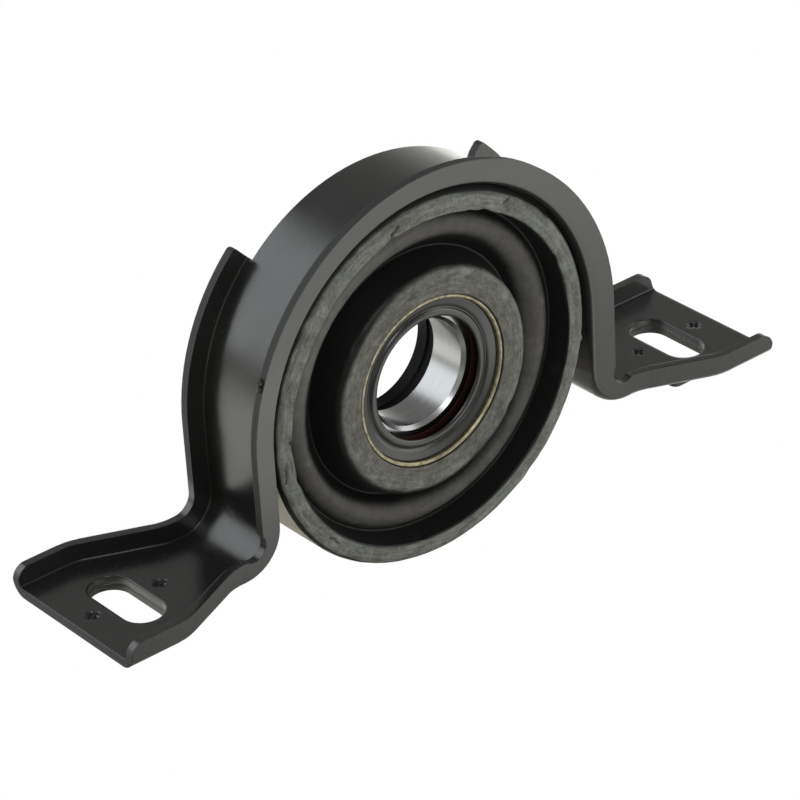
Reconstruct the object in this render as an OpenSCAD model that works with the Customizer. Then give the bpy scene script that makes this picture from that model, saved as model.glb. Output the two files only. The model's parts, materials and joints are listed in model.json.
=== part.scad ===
// Driveshaft centre bearing: a sealed ball bearing in a rubber cushion, carried
// by a pressed steel bracket with two slotted feet.
// The origin is the centre of the bearing. +Y runs along the shaft, from the
// front face to the back, +X across the feet and +Z up to the top of the arch.

/* [Bearing] */
// Bore of the inner race
bore_d = 30; // [26:0.5:31]
// Outside diameter of the outer race
bearing_od = 55; // [49:0.5:61]
// Width of both races
bearing_w = 13; // [12:0.5:15]
// Chamfer on the corners of the races
race_chamfer = 1; // [0.4:0.1:1.4]
// Space between the lands of the two races, as a share of the bearing's section
land_share = 0.352; // [0.33:0.002:0.38]
// Diameter of one ball, as a share of the bearing's section
ball_share = 0.568; // [0.52:0.002:0.59]
// Number of balls
ball_count = 11; // [8:1:11]
// Radial width of the cage, as a share of the bearing's section
cage_share = 0.24; // [0.2:0.002:0.27]
// Sheet thickness of the cage
cage_t = 0.7; // [0.5:0.1:0.9]
// Diameter of a cage rivet's shank
rivet_d = 1; // [0.8:0.1:1.2]
// Diameter of a cage rivet's head
rivet_head_d = 1.9; // [1.5:0.1:2.2]
// Height of a cage rivet's head
rivet_head_h = 0.5; // [0.3:0.1:0.7]
// Thickness of a seal
seal_t = 1.2; // [1:0.1:1.4]
// How far a seal lies inside the face of the races
seal_inset = 0.3; // [0.1:0.1:0.5]
// Radial depth of the seal's seat in the outer race
seal_seat = 1.1; // [0.8:0.1:1.4]

/* [Sleeve and dust shields] */
// Wall of the bearing sleeve
sleeve_t = 1.6; // [1.2:0.1:2]
// Depth of the shoulder behind the sleeve's nose, as a share of the bearing's section
shoulder_share = 0.28; // [0.24:0.005:0.34]
// Wall of the sleeve's nose
nose_t = 1.1; // [0.9:0.1:1.4]
// Chamfer on both edges of the nose
nose_chamfer = 0.3; // [0.2:0.05:0.4]
// From the middle of the bearing to the nose's front edge
nose_front = 12; // [11.6:0.1:13.6]
// From the middle of the bearing to the sleeve's rear edge
sleeve_rear = 10; // [9.8:0.1:12]
// Gap between the shaft and both dust shields
shield_gap = 1.7; // [1.2:0.1:2.5]
// How far the front shield lies inside the nose's edge
shield_inset = 1.1; // [0.8:0.1:1.5]
// Thickness of both dust shields
shield_t = 2.8; // [2.4:0.1:3]
// Wall of the rear shield's throat around the shaft
throat_t = 1.6; // [1.2:0.1:2]
// How far the throat reaches back past the rear shield
throat_l = 4.7; // [3:0.1:6]

/* [Rubber cushion] */
// Height of the ring's centre above the bearing's centre
ring_lift = 1.2; // [0:0.1:2]
// From the middle of the bearing to the hub's front face
hub_front = 12.4; // [11.6:0.1:13.6]
// Wall of the hub around the sleeve, at the hub's front face
hub_wall = 2.9; // [2:0.1:4]
// Radius on the hub's front edge
hub_edge = 2.2; // [1:0.1:3]
// How much wider the hub is at the foot of its wall
hub_flare = 2.5; // [1.5:0.1:3.5]
// From the middle of the bearing to the foot of the hub's wall
hub_foot = 3.1; // [2:0.1:4]
// From the middle of the bearing to the hub's rear face
hub_rear = 9.6; // [8.5:0.1:11]
// From the middle of the bearing to the rim's front face
rim_front = 12.6; // [12.2:0.1:14]
// Width of the rim inside the shell's bore
rim_w = 4.2; // [3.4:0.1:5]
// Radius on the rim's outer edge
rim_edge = 1.9; // [1:0.1:2.1]
// How far the groove beside the roll lies inside the rim's face
groove_w = 1.6; // [1:0.1:2.4]
// From the middle of the bearing to the bottom of that groove
groove_floor = 5.9; // [5:0.1:7]
// Height of the roll between the hub and the rim
roll_h = 3.8; // [2:0.1:4.6]
// Thickness of the rubber in the roll
roll_t = 3.8; // [3:0.1:4.5]
// Thickness of the collar bonded into the shell
collar_t = 2.2; // [1.6:0.1:2.8]

/* [Ring shell] */
// Outside diameter of the shell, which is the inside of the bracket's arch
shell_d = 105.2; // [94:0.2:116]
// Wall of the shell
shell_t = 1.6; // [1.2:0.1:1.8]
// From the middle of the bearing to the shell's front edge
shell_front = 10.4; // [9.6:0.1:10.6]

/* [Bracket] */
// Sheet thickness of the bracket
sheet = 2.4; // [2:0.1:2.8]
// Outside radius of the fold between web and flange
fold_r = 4.4; // [3.4:0.1:5]
// Height of the flanges, measured from the web's inner face
flange_h = 7.7; // [6.6:0.1:8.6]
// From the middle of the bearing to the front flange's face
channel_front = 15.4; // [15:0.1:17]
// From the middle of the bearing to the back flange's face
channel_back = 15.6; // [15:0.1:17]
// Angle from the horizontal at which the back flange ends on the arch
back_flange_end = 47; // [20:1:60]
// Corner radius at the ends of the back flange on the arch
flange_corner = 1.5; // [1:0.1:3]
// From the ring's centre down to the underside of the feet
foot_drop = 33.4; // [30:0.2:36]
// Outside radius of the bend between leg and foot
bend_r = 13; // [11:0.5:17]
// Radius of the pinch in the front flange at each bend
pinch_r = 4; // [3.4:0.1:4.6]
// How far the pinch lies from the bend's centre, across and down
pinch_shift = 2.1; // [1.7:0.1:2.4]

/* [Feet] */
// Width of the bracket over both feet
overall_w = 219; // [197:1:241]
// From the middle of the bearing to the front face of a foot
foot_front = 25; // [23:0.1:26]
// From the middle of the bearing to the back face of a foot
foot_back = 25.7; // [23:0.1:27]
// Angle of the flare between leg and foot
flare_angle = 24; // [20:1:34]
// Straight run between the bend and the flare
flare_lead = 1; // [0.5:0.1:2]
// Radius of the two curves of the flare
flare_r = 14; // [12:0.5:15]
// Corner radius at the ends of the foot flanges
foot_corner = 4; // [2:0.1:5]
// From the end of a foot to the middle of its slot
slot_inset = 16.5; // [14:0.1:18]
// Width of a slot
slot_w = 11.6; // [10:0.2:13]
// Length of a slot
slot_l = 25.6; // [20:0.2:28]
// From the slot's centre to a stake mark
stake_offset = 10.5; // [9.5:0.1:12]
// Length of one arm of a stake mark
stake_arm = 3.8; // [3:0.1:5]
// Width of one arm of a stake mark
stake_w = 1.4; // [1:0.1:2]
// Depth of a stake mark
stake_depth = 0.9; // [0.6:0.1:1.6]
// Thickness of a foot plate
plate_t = 2; // [1.5:0.1:3]
// Width of a foot plate beside its slot
plate_side = 6.2; // [4:0.1:8]
// Length of a foot plate beyond the ends of its slot
plate_end = 3.4; // [2:0.1:6]
// Corner radius of a foot plate
plate_corner = 2; // [1:0.5:4]

/* [Fits] */
// Gap between a ball and each raceway
ball_play = 0.1; // [0.05:0.05:0.2]
// Gap between a ball and its cage pocket
pocket_play = 0.12; // [0.06:0.02:0.2]
// Gap between a seal's lip and the inner race
lip_play = 0.1; // [0.05:0.05:0.2]
// Gap between a rivet and its hole in the cage
rivet_play = 0.05; // [0.02:0.01:0.1]
// Gap between the rubber rim and the bracket's arch
rim_play = 0.2; // [0.1:0.05:0.4]

/* [Hidden] */
$fn = 96;

// Bearing
half_w = bearing_w / 2;
bore_r = bore_d / 2;
od_r = bearing_od / 2;
section = od_r - bore_r;
pitch_r = (bore_r + od_r) / 2;
ball_d = ball_share * section;
cage_w = cage_share * section;
land_gap = land_share * section;
inner_land_r = pitch_r - land_gap / 2;
outer_land_r = pitch_r + land_gap / 2;
raceway_r = ball_d / 2 + ball_play;
pocket_r = ball_d / 2 + pocket_play;
ball_step = 360 / ball_count;
seat_r = outer_land_r + seal_seat;
seat_depth = seal_inset + seal_t;
lip_r = inner_land_r + lip_play;
seal_lip_w = 1.2;
seal_relief = 0.35;

// Sleeve and dust shields
nose_r = od_r - shoulder_share * section;
nose_bore_r = nose_r - nose_t;
sleeve_r = od_r + sleeve_t;
opening_r = bore_r + shield_gap;
step_r = (opening_r + nose_bore_r) / 2;
shield_face = nose_front - shield_inset;
shield_edge = 0.5;
shield_groove = 0.9;
rear_rim_w = 1.6;
rear_web_gap = 1.2;

// Rubber cushion
hub_r = sleeve_r + hub_wall;
hub_foot_r = hub_r + hub_flare;
rim_inner_r = shell_d / 2 - shell_t - rim_w;
groove_r = rim_inner_r - groove_w;
rim_bead = 0.7;
hub_overlap = 3;
roll_steps = 24;
edge_steps = 8;

// Ring shell and bracket
arch_r = shell_d / 2;
shell_bore_r = arch_r - shell_t;
rim_r = arch_r - rim_play;
web_back = channel_back - fold_r;
bend_x = arch_r + bend_r;
bend_z = bend_r - foot_drop;
flare_x = bend_x + flare_lead;
foot_end = overall_w / 2;
slot_x = foot_end - slot_inset;
slot_r = slot_w / 2;
plate_x = slot_w + 2 * plate_side;
plate_y = slot_l + 2 * plate_end;
floor_strip = 5;
flare_inset = 0.03;
floor_inset = 0.01;
flare_lap = 1.2;
arch_trim = 0.2;
corner_lap = 0.05;
cut = 1;

balls = [for (i = [1:ball_count]) str("ball_", i)];

// Points on a round edge about a centre, from one angle to another
function edge_arc(centre, r, from, to) = [
    for (i = [0:edge_steps])
        let (a = from + (to - from) * i / edge_steps)
        centre + r * [cos(a), sin(a)]
];

// Front surface of the roll at a radius: the line from the foot of the hub to
// the groove, raised by half a wave
function roll_y(r) =
    let (t = (r - hub_foot_r) / (groove_r - hub_foot_r))
    -hub_foot + (hub_foot - groove_floor) * t - roll_h * sin(180 * t);

function roll_points(from, to, shift) = [
    for (i = [0:roll_steps])
        let (r = from + (to - from) * i / roll_steps)
        [r, roll_y(r) + shift]
];

// Turns a profile of radius and depth around the shaft, between two angles
// measured from +X towards +Z
module around_shaft(from = 0, to = 360) {
    rotate([-90, 0, 0])
        rotate([0, 0, -to])
            rotate_extrude(angle = to - from)
                children();
}

module at_ring() {
    translate([0, 0, ring_lift])
        children();
}

module both_feet() {
    children();
    mirror([1, 0, 0])
        children();
}

// A rod along the shaft, from one depth to another
module rod(r, from, to) {
    translate([0, from, 0])
        rotate([-90, 0, 0])
            cylinder(r = r, h = to - from);
}

module at_ball(i) {
    rotate([0, -ball_step * i, 0])
        translate([pitch_r, 0, 0])
            children();
}

// Bearing

module inner_race() {
    color("silver")
        around_shaft()
            difference() {
                polygon([
                    [bore_r, race_chamfer - half_w],
                    [bore_r + race_chamfer, -half_w],
                    [inner_land_r - race_chamfer / 2, -half_w],
                    [inner_land_r, race_chamfer / 2 - half_w],
                    [inner_land_r, half_w - race_chamfer / 2],
                    [inner_land_r - race_chamfer / 2, half_w],
                    [bore_r + race_chamfer, half_w],
                    [bore_r, half_w - race_chamfer]
                ]);
                translate([pitch_r, 0])
                    circle(raceway_r);
            }
}

module outer_race() {
    color("silver")
        around_shaft()
            difference() {
                polygon([
                    [seat_r, -half_w],
                    [od_r - race_chamfer, -half_w],
                    [od_r, race_chamfer - half_w],
                    [od_r, half_w - race_chamfer],
                    [od_r - race_chamfer, half_w],
                    [seat_r, half_w],
                    [seat_r, half_w - seat_depth],
                    [outer_land_r, half_w - seat_depth],
                    [outer_land_r, seat_depth - half_w],
                    [seat_r, seat_depth - half_w]
                ]);
                translate([pitch_r, 0])
                    circle(raceway_r);
            }
}

// Seal with a shallow relief behind its lip
module seal() {
    face = seal_inset - half_w;
    back = seat_depth - half_w;
    color("saddlebrown")
        around_shaft()
            polygon([
                [seat_r, face],
                [seat_r, back],
                [lip_r + seal_lip_w, back],
                [lip_r, back - seal_relief],
                [lip_r, face],
                [lip_r + seal_lip_w / 2, face + seal_relief],
                [lip_r + seal_lip_w, face]
            ]);
}

module front_seal() {
    seal();
}

module rear_seal() {
    mirror([0, 1, 0])
        seal();
}

module ball(i) {
    color("lightgray")
        at_ball(i)
            sphere(d = ball_d);
}

// Sphere about a ball, with its poles on the bearing's radius
module pocket_ball(r) {
    rotate([0, 90, 0])
        rotate([0, 0, 90])
            sphere(r);
}

// Half of the pressed cage: a flat ring with a round pocket for each ball
module cage_half() {
    color("darkgray")
        intersection() {
            difference() {
                union() {
                    rod(pitch_r + cage_w / 2, -cage_t, 0);
                    for (i = [1:ball_count])
                        at_ball(i)
                            pocket_ball(pocket_r + cage_t);
                }
                for (i = [1:ball_count]) {
                    at_ball(i)
                        pocket_ball(pocket_r);
                    at_ball(i + 0.5)
                        rod(rivet_d / 2 + rivet_play, -cage_t - cut, cut);
                }
            }
            difference() {
                rod(pitch_r + cage_w / 2, -pocket_r - cage_t - cut, 0);
                rod(pitch_r - cage_w / 2, -pocket_r - cage_t - 2 * cut, cut);
            }
        }
}

module front_cage() {
    cage_half();
}

module rear_cage() {
    mirror([0, 1, 0])
        cage_half();
}

module cage_rivets() {
    color("gray")
        for (i = [1:ball_count])
            at_ball(i + 0.5) {
                rod(rivet_d / 2, -cage_t, cage_t);
                rod(rivet_head_d / 2, -cage_t - rivet_head_h, -cage_t);
                rod(rivet_head_d / 2, cage_t, cage_t + rivet_head_h);
            }
}

// Sleeve and dust shields

// Drawn steel sleeve: the bearing seats against the shoulder behind the nose
module bearing_sleeve() {
    color("darkkhaki")
        around_shaft()
            polygon([
                [nose_bore_r, nose_chamfer - nose_front],
                [nose_bore_r + nose_chamfer, -nose_front],
                [nose_r - nose_chamfer, -nose_front],
                [nose_r, nose_chamfer - nose_front],
                [nose_r, -half_w - sleeve_t],
                [sleeve_r, -half_w - sleeve_t],
                [sleeve_r, sleeve_rear],
                [od_r, sleeve_rear],
                [od_r, -half_w],
                [nose_bore_r, -half_w]
            ]);
}

// Front shield, pressed into the nose, with a groove at the step of its face
module front_dust_shield() {
    face = -shield_face;
    back = face + shield_t;
    lip_face = face + shield_groove / 2;
    color("dimgray")
        around_shaft()
            polygon([
                [nose_bore_r, back],
                [nose_bore_r, face + shield_edge],
                [nose_bore_r - shield_edge, face],
                [step_r, face],
                [step_r - shield_edge / 2, face + shield_groove],
                [step_r - shield_edge, face + shield_groove],
                [step_r - 2 * shield_edge, lip_face],
                [opening_r + shield_edge, lip_face + shield_edge / 2],
                [opening_r, lip_face + shield_edge * 1.5],
                [opening_r, back - shield_edge],
                [opening_r + shield_edge, back]
            ]);
}

// Rear shield, pressed into the sleeve against the outer race, with a throat
// that reaches back along the shaft behind a small step
module rear_dust_shield() {
    back = half_w + shield_t;
    web = half_w + rear_web_gap;
    throat_r = opening_r + throat_t;
    color("dimgray")
        around_shaft()
            polygon([
                [od_r, half_w],
                [od_r, back],
                [throat_r, back],
                [throat_r, back + throat_l - shield_edge],
                [throat_r - shield_edge, back + throat_l],
                [opening_r, back + throat_l],
                [opening_r, back + 2 * shield_edge],
                [opening_r + shield_edge, back + shield_edge],
                [opening_r + shield_edge, web],
                [od_r - rear_rim_w, web],
                [od_r - rear_rim_w, half_w]
            ]);
}

// Rubber cushion

module hub_profile() {
    wall_angle = atan2(hub_foot_r - hub_r, hub_front - hub_foot);
    polygon(concat(
        [
            [nose_r, -half_w - sleeve_t],
            [nose_r, -hub_front]
        ],
        edge_arc([hub_r - hub_edge, hub_edge - hub_front], hub_edge, -90, -wall_angle),
        [
            [hub_foot_r, -hub_foot],
            [hub_foot_r, roll_t - hub_foot],
            [hub_r, hub_rear],
            [sleeve_r, hub_rear],
            [sleeve_r, -half_w - sleeve_t]
        ]
    ));
}

module rim_profile() {
    roll_in = hub_foot_r - hub_overlap;
    collar_r = shell_bore_r - collar_t;
    polygon(concat(
        [
            [shell_bore_r, web_back - rim_bead],
            [shell_bore_r, -shell_front],
            [rim_r, -shell_front]
        ],
        edge_arc([rim_r - rim_edge, rim_edge - rim_front], rim_edge, 0, -90),
        edge_arc([rim_inner_r + rim_bead, rim_bead - rim_front], rim_bead, -90, -180),
        roll_points(groove_r, hub_foot_r, 0),
        [
            [roll_in, -hub_foot],
            [roll_in, roll_t - hub_foot]
        ],
        roll_points(hub_foot_r, groove_r, roll_t),
        [
            [collar_r, roll_t + collar_t - groove_floor],
            [collar_r, web_back - rim_bead]
        ]
    ));
}

module rubber_cushion() {
    color("darkslategray") {
        around_shaft()
            hub_profile();
        at_ring()
            around_shaft()
                rim_profile();
    }
}

// Ring shell

module ring_shell() {
    color("rosybrown")
        at_ring()
            around_shaft()
                translate([shell_bore_r, -shell_front])
                    square([shell_t, shell_front + web_back]);
}

// Bracket

// Section of one flange with its fold and a strip of web: x runs in from the
// flange's face, y up from the web's inner face. An inset makes it thinner.
module flange_section(web_strip, inset = 0) {
    translate([inset, fold_r])
        square([sheet - 2 * inset, flange_h - fold_r - inset]);
    intersection() {
        square(fold_r);
        translate([fold_r, fold_r])
            difference() {
                circle(fold_r - inset);
                circle(fold_r - sheet + inset);
            }
    }
    if (web_strip > 0)
        translate([fold_r, inset])
            square([web_strip, sheet - 2 * inset]);
}

// Front flange and web: x runs out from the web's inner face, y along the shaft
module front_section() {
    translate([0, -channel_front])
        mirror([1, -1])
            flange_section(channel_front - fold_r + web_back);
}

module back_section() {
    translate([0, channel_back])
        mirror([0, 1])
            mirror([1, -1])
                flange_section(0);
}

module channel_section() {
    front_section();
    back_section();
}

// Half of the arch, with the back flange cut away over the top
module half_arch() {
    tip_r = arch_r + flange_h - flange_corner + corner_lap;
    corner_angle = asin((flange_corner - corner_lap) / tip_r);
    difference() {
        around_shaft(0, 90)
            translate([arch_r, 0])
                channel_section();
        around_shaft(back_flange_end, 90 + cut)
            translate([arch_r - fold_r, web_back - arch_trim])
                square([fold_r + flange_h + cut, 2 * fold_r]);
        rotate([0, corner_angle - back_flange_end, 0])
            translate([tip_r, 0, 0])
                difference() {
                    translate([0, web_back, 0])
                        cube([2 * flange_corner, 2 * fold_r, 2 * flange_corner]);
                    rod(flange_corner, 0, channel_back + cut);
                }
    }
}

module leg() {
    translate([0, 0, bend_z])
        linear_extrude(-bend_z)
            translate([arch_r, 0])
                channel_section();
}

// Bend from leg to foot, with the front flange pinched in the middle
module bend() {
    difference() {
        translate([bend_x, 0, bend_z])
            around_shaft(-180, -90)
                translate([bend_r, 0])
                    mirror([1, 0])
                        channel_section();
        translate([bend_x - pinch_shift, 0, bend_z - pinch_shift])
            rod(pinch_r, -channel_front - cut, 0);
    }
}

// Short straight channel between the bend and the foot's flare
module lead() {
    translate([bend_x, 0, -foot_drop])
        rotate([90, 0, 90])
            linear_extrude(flare_lead)
                mirror([1, -1])
                    channel_section();
}

// Straight run of flange along +X, with its face on the X axis
module flange_run(length) {
    rotate([90, 0, 90])
        linear_extrude(length)
            flange_section(floor_strip);
}

// Straight part of the flare for a sideways step, to a hundredth of a millimetre
function flare_run(step) =
    round(100 * (step - 2 * flare_r * (1 - cos(flare_angle))) / sin(flare_angle)) / 100;

// Curve of the flare about a vertical axis, a little thinner than the straight
// runs and reaching into the runs at both ends
module flare_curve(from) {
    rotate([0, 0, from - flare_lap])
        rotate_extrude(angle = flare_angle + 2 * flare_lap)
            translate([flare_r, 0])
                children();
}

// Flange of one foot out to its end: an S-shaped flare that steps out from the
// leg's width, then straight
module foot_flange(step) {
    run = flare_run(step);
    translate([flare_x, -flare_r, 0]) {
        flare_curve(90 - flare_angle)
            flange_section(floor_strip, flare_inset);
        rotate([0, 0, -flare_angle])
            translate([0, flare_r, 0]) {
                flange_run(run);
                translate([run, flare_r, 0]) {
                    flare_curve(-90)
                        mirror([1, 0])
                            flange_section(floor_strip, flare_inset);
                    rotate([0, 0, flare_angle])
                        translate([0, -flare_r, 0])
                            flange_run(foot_end - bend_x);
                }
            }
    }
}

// Line down the middle of a foot flange's strip of floor
function strip_line(step) =
    let (in = fold_r + floor_strip / 2)
    let (across = flare_r * sin(flare_angle))
    let (out = flare_r * (1 - cos(flare_angle)))
    let (way = [cos(flare_angle), -sin(flare_angle)])
    let (along = flare_run(step) * way)
    let (lean = in * [sin(flare_angle), cos(flare_angle)])
    let (start = [flare_x + across, -out])
    [
        [flare_x - flare_lead / 2, in],
        start + lean + way,
        start + along + lean - way,
        start + along + [across + 1, in - out],
        [foot_end + cut, in - step]
    ];

module foot_floor() {
    front = [for (p = strip_line(foot_front - channel_front)) [p.x, p.y - channel_front]];
    back = [for (p = strip_line(foot_back - channel_back)) [p.x, channel_back - p.y]];
    translate([0, 0, floor_inset])
        linear_extrude(sheet - 2 * floor_inset)
            polygon(concat(front, [for (i = [len(back) - 1:-1:0]) back[i]]));
}

// Everything past the end of a foot and outside its flanges' round corners
module foot_end_cut() {
    depth = foot_front + foot_back + 4 * cut;
    translate([0, -foot_front - 2 * cut, 0]) {
        translate([foot_end, 0, -cut])
            cube([bend_x, depth, flange_h + 2 * cut]);
        translate([foot_end - foot_corner, 0, flange_h - foot_corner])
            difference() {
                cube([2 * foot_corner, depth, 2 * foot_corner]);
                rod(foot_corner, -cut, depth + cut);
            }
    }
}

module slot(depth) {
    straight = slot_l / 2 - slot_r;
    translate([slot_x, 0, -cut]) {
        for (side = [-1, 1])
            translate([0, side * straight, 0])
                cylinder(r = slot_r, h = depth);
        translate([-slot_r, -straight, 0])
            cube([slot_w, 2 * straight, depth]);
    }
}

// Cross-shaped mark where the foot is staked to its plate
module stake_mark(x) {
    translate([x, 0, sheet - stake_depth / 2 + cut / 2]) {
        cube([stake_arm, stake_w, stake_depth + cut], center = true);
        cube([stake_w, stake_arm, stake_depth + cut], center = true);
    }
}

module foot() {
    translate([0, 0, -foot_drop])
        difference() {
            union() {
                foot_floor();
                translate([0, -channel_front, 0])
                    foot_flange(foot_front - channel_front);
                translate([0, channel_back, 0])
                    mirror([0, 1, 0])
                        foot_flange(foot_back - channel_back);
            }
            foot_end_cut();
            slot(sheet + 2 * cut);
            stake_mark(slot_x - stake_offset);
            stake_mark(slot_x + stake_offset);
        }
}

module bracket() {
    color("#26282a")
        at_ring()
            both_feet()
                union() {
                    half_arch();
                    leg();
                    bend();
                    lead();
                    foot();
                }
}

module foot_plate() {
    color("#1d1f20")
        at_ring()
            translate([0, 0, -foot_drop - plate_t])
                difference() {
                    linear_extrude(plate_t)
                        translate([slot_x, 0]) {
                            square([plate_x - 2 * plate_corner, plate_y], center = true);
                            square([plate_x, plate_y - 2 * plate_corner], center = true);
                            for (sx = [-1, 1], sy = [-1, 1])
                                translate([
                                    sx * (plate_x / 2 - plate_corner),
                                    sy * (plate_y / 2 - plate_corner)
                                ])
                                    circle(plate_corner);
                        }
                    slot(plate_t + 2 * cut);
                }
}

module right_foot_plate() {
    foot_plate();
}

module left_foot_plate() {
    mirror([1, 0, 0])
        foot_plate();
}

bracket();
left_foot_plate();
right_foot_plate();
ring_shell();
rubber_cushion();
bearing_sleeve();
front_dust_shield();
rear_dust_shield();
outer_race();
inner_race();
front_seal();
rear_seal();
front_cage();
rear_cage();
cage_rivets();
for (i = [1:ball_count])
    ball(i);
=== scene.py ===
import json
import math

import bmesh
import bpy
import numpy as np
from mathutils import Matrix, Vector


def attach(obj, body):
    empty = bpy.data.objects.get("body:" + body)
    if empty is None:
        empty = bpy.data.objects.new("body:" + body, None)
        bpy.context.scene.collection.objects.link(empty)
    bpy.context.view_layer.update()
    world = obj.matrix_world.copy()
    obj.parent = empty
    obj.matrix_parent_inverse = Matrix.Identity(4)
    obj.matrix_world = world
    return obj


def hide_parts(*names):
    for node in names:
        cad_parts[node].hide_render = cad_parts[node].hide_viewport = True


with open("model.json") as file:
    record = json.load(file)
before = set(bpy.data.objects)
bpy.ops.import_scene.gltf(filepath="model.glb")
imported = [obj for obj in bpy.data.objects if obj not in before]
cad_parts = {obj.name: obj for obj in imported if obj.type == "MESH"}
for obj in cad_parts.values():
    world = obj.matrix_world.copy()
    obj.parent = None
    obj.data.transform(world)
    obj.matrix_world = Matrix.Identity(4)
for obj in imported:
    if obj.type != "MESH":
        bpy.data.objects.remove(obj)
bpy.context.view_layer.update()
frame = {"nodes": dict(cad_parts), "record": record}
nodes = frame["nodes"]
scene = bpy.context.scene
MM = 0.001


# Shader helpers

def new_group(name, inputs, outputs):
    """An empty shader node group with its sockets, and its input and output nodes."""
    tree = bpy.data.node_groups.new(name, "ShaderNodeTree")
    for label, kind, value in inputs:
        socket = tree.interface.new_socket(label, in_out="INPUT", socket_type=kind)
        if value is not None:
            socket.default_value = value
    for label, kind in outputs:
        tree.interface.new_socket(label, in_out="OUTPUT", socket_type=kind)
    return tree, tree.nodes.new("NodeGroupInput"), tree.nodes.new("NodeGroupOutput")


def add(tree, kind, **settings):
    """A new node with the settings given."""
    node = tree.nodes.new(kind)
    for key, value in settings.items():
        setattr(node, key, value)
    return node


def set_or_link(tree, socket, value):
    """Sets a plain number on a socket, or links the socket that the value comes from."""
    if isinstance(value, (int, float)):
        socket.default_value = value
    else:
        tree.links.new(value, socket)


def noise(tree, vector, scale, detail, rough):
    """Noise around 0.5, at a scale that is a number or a socket."""
    node = add(tree, "ShaderNodeTexNoise")
    tree.links.new(vector, node.inputs["Vector"])
    set_or_link(tree, node.inputs["Scale"], scale)
    node.inputs["Detail"].default_value = detail
    node.inputs["Roughness"].default_value = rough
    return node.outputs["Fac"]


def remap(tree, value, low, high, to_low=0.0, to_high=1.0):
    """Carries the span from low to high over to another span, and holds the value at its ends."""
    node = add(tree, "ShaderNodeMapRange", clamp=True)
    tree.links.new(value, node.inputs["Value"])
    for label, number in (("From Min", low), ("From Max", high), ("To Min", to_low), ("To Max", to_high)):
        node.inputs[label].default_value = number
    return node.outputs["Result"]


def maths(tree, operation, *values):
    """One operation on one or two values, each a number or a socket."""
    node = add(tree, "ShaderNodeMath", operation=operation)
    for socket, value in zip(node.inputs, values):
        set_or_link(tree, socket, value)
    return node.outputs[0]


def times(tree, product, *factors):
    """The product of numbers and sockets."""
    for factor in factors:
        product = maths(tree, "MULTIPLY", product, factor)
    return product


def plus(tree, total, *terms):
    """The sum of numbers and sockets."""
    for term in terms:
        total = maths(tree, "ADD", total, term)
    return total


def mix_colour(tree, factor, a, b):
    """A colour between two others, each a tuple or a socket."""
    node = add(tree, "ShaderNodeMix", data_type="RGBA")
    tree.links.new(factor, node.inputs[0])
    for socket, value in ((node.inputs[6], a), (node.inputs[7], b)):
        if isinstance(value, tuple):
            socket.default_value = (*value, 1.0)
        else:
            tree.links.new(value, socket)
    return node.outputs[2]


def split_xyz(tree, vector):
    """The three parts of a vector."""
    node = add(tree, "ShaderNodeSeparateXYZ")
    tree.links.new(vector, node.inputs[0])
    return node.outputs


def join_xyz(tree, *parts):
    """A vector from three parts, each a number or a socket."""
    node = add(tree, "ShaderNodeCombineXYZ")
    for socket, part in zip(node.inputs, parts):
        set_or_link(tree, socket, part)
    return node.outputs[0]


def bumped(tree, height, distance):
    """A Bump node at full strength, with a height and the distance that it stands for."""
    node = add(tree, "ShaderNodeBump")
    node.inputs["Strength"].default_value = 1.0
    tree.links.new(height, node.inputs["Height"])
    tree.links.new(distance, node.inputs["Distance"])
    return node


def object_place(tree):
    """Where a point lies in the object's own frame, in metres."""
    return add(tree, "ShaderNodeTexCoord").outputs["Object"]


def shaft_place(tree):
    """Across and up in metres, and radius and depth in millimetres, about the shaft's axis."""
    x, y, z = split_xyz(tree, object_place(tree))
    square = plus(tree, times(tree, x, x), times(tree, z, z))
    radius = times(tree, maths(tree, "SQRT", square), 1 / MM)
    return x, z, radius, times(tree, y, 1 / MM)


# Shared effects

# Spans of a noise's value over which a mark grows from none to full
LINE_SPAN = (0.64, 0.74)
PATCH_SPAN = (0.56, 0.72)
DOT_SPAN = (0.71, 0.76)


def make_grain_group():
    """Fine surface grain: a bumped normal and a slow mottle, both from object coordinates."""
    tree, given, result = new_group(
        "Surface Grain",
        [("Grain Scale", "NodeSocketFloat", 900.0), ("Grain Height", "NodeSocketFloat", 0.00002),
         ("Mottle Scale", "NodeSocketFloat", 60.0), ("Base Normal", "NodeSocketVector", None)],
        [("Normal", "NodeSocketVector"), ("Mottle", "NodeSocketFloat")])
    fine = noise(tree, object_place(tree), given.outputs["Grain Scale"], detail=3.0, rough=0.5)
    slow = noise(tree, object_place(tree), given.outputs["Mottle Scale"], detail=5.0, rough=0.6)
    bump = bumped(tree, fine, given.outputs["Grain Height"])
    tree.links.new(given.outputs["Base Normal"], bump.inputs["Normal"])
    tree.links.new(bump.outputs["Normal"], result.inputs["Normal"])
    tree.links.new(slow, result.inputs["Mottle"])
    return tree


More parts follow.
